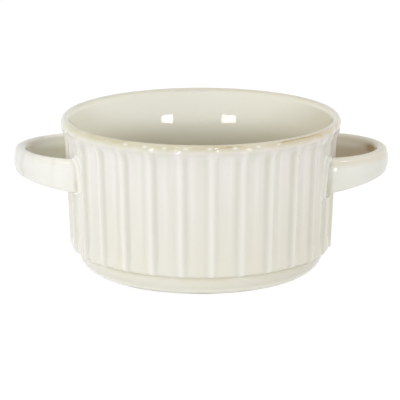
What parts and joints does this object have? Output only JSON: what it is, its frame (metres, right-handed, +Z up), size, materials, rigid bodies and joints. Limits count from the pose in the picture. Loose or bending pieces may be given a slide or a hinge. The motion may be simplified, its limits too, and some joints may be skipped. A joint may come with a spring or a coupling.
{
  "type": "lug soup bowl",
  "caption": "Round stoneware soup bowl with a vertically fluted wall, a flared rounded rim, a plain foot band and a strap loop handle on each side.",
  "frame": {"origin": "centre of the foot's standing face", "axes": "+Z up along the bowl's axis, +X towards the right handle, the front on -Y"},
  "size_m": [0.1746, 0.13, 0.0715],
  "materials": {
    "body_glaze": "glossy cream glaze over buff stoneware, warmer where it thins at the rim, with a bare standing face",
    "handle_glaze": "glossy cream glaze",
    "joint_glaze": "glossy cream glaze that breaks to tan in the groove beside the strap"
  },
  "bodies": {
    "root": {"bowl_body": "body_glaze", "right_handle": "handle_glaze", "left_handle": "handle_glaze", "right_front_slip_joint": "joint_glaze", "right_back_slip_joint": "joint_glaze", "left_front_slip_joint": "joint_glaze", "left_back_slip_joint": "joint_glaze"}
  },
  "joints": []
}
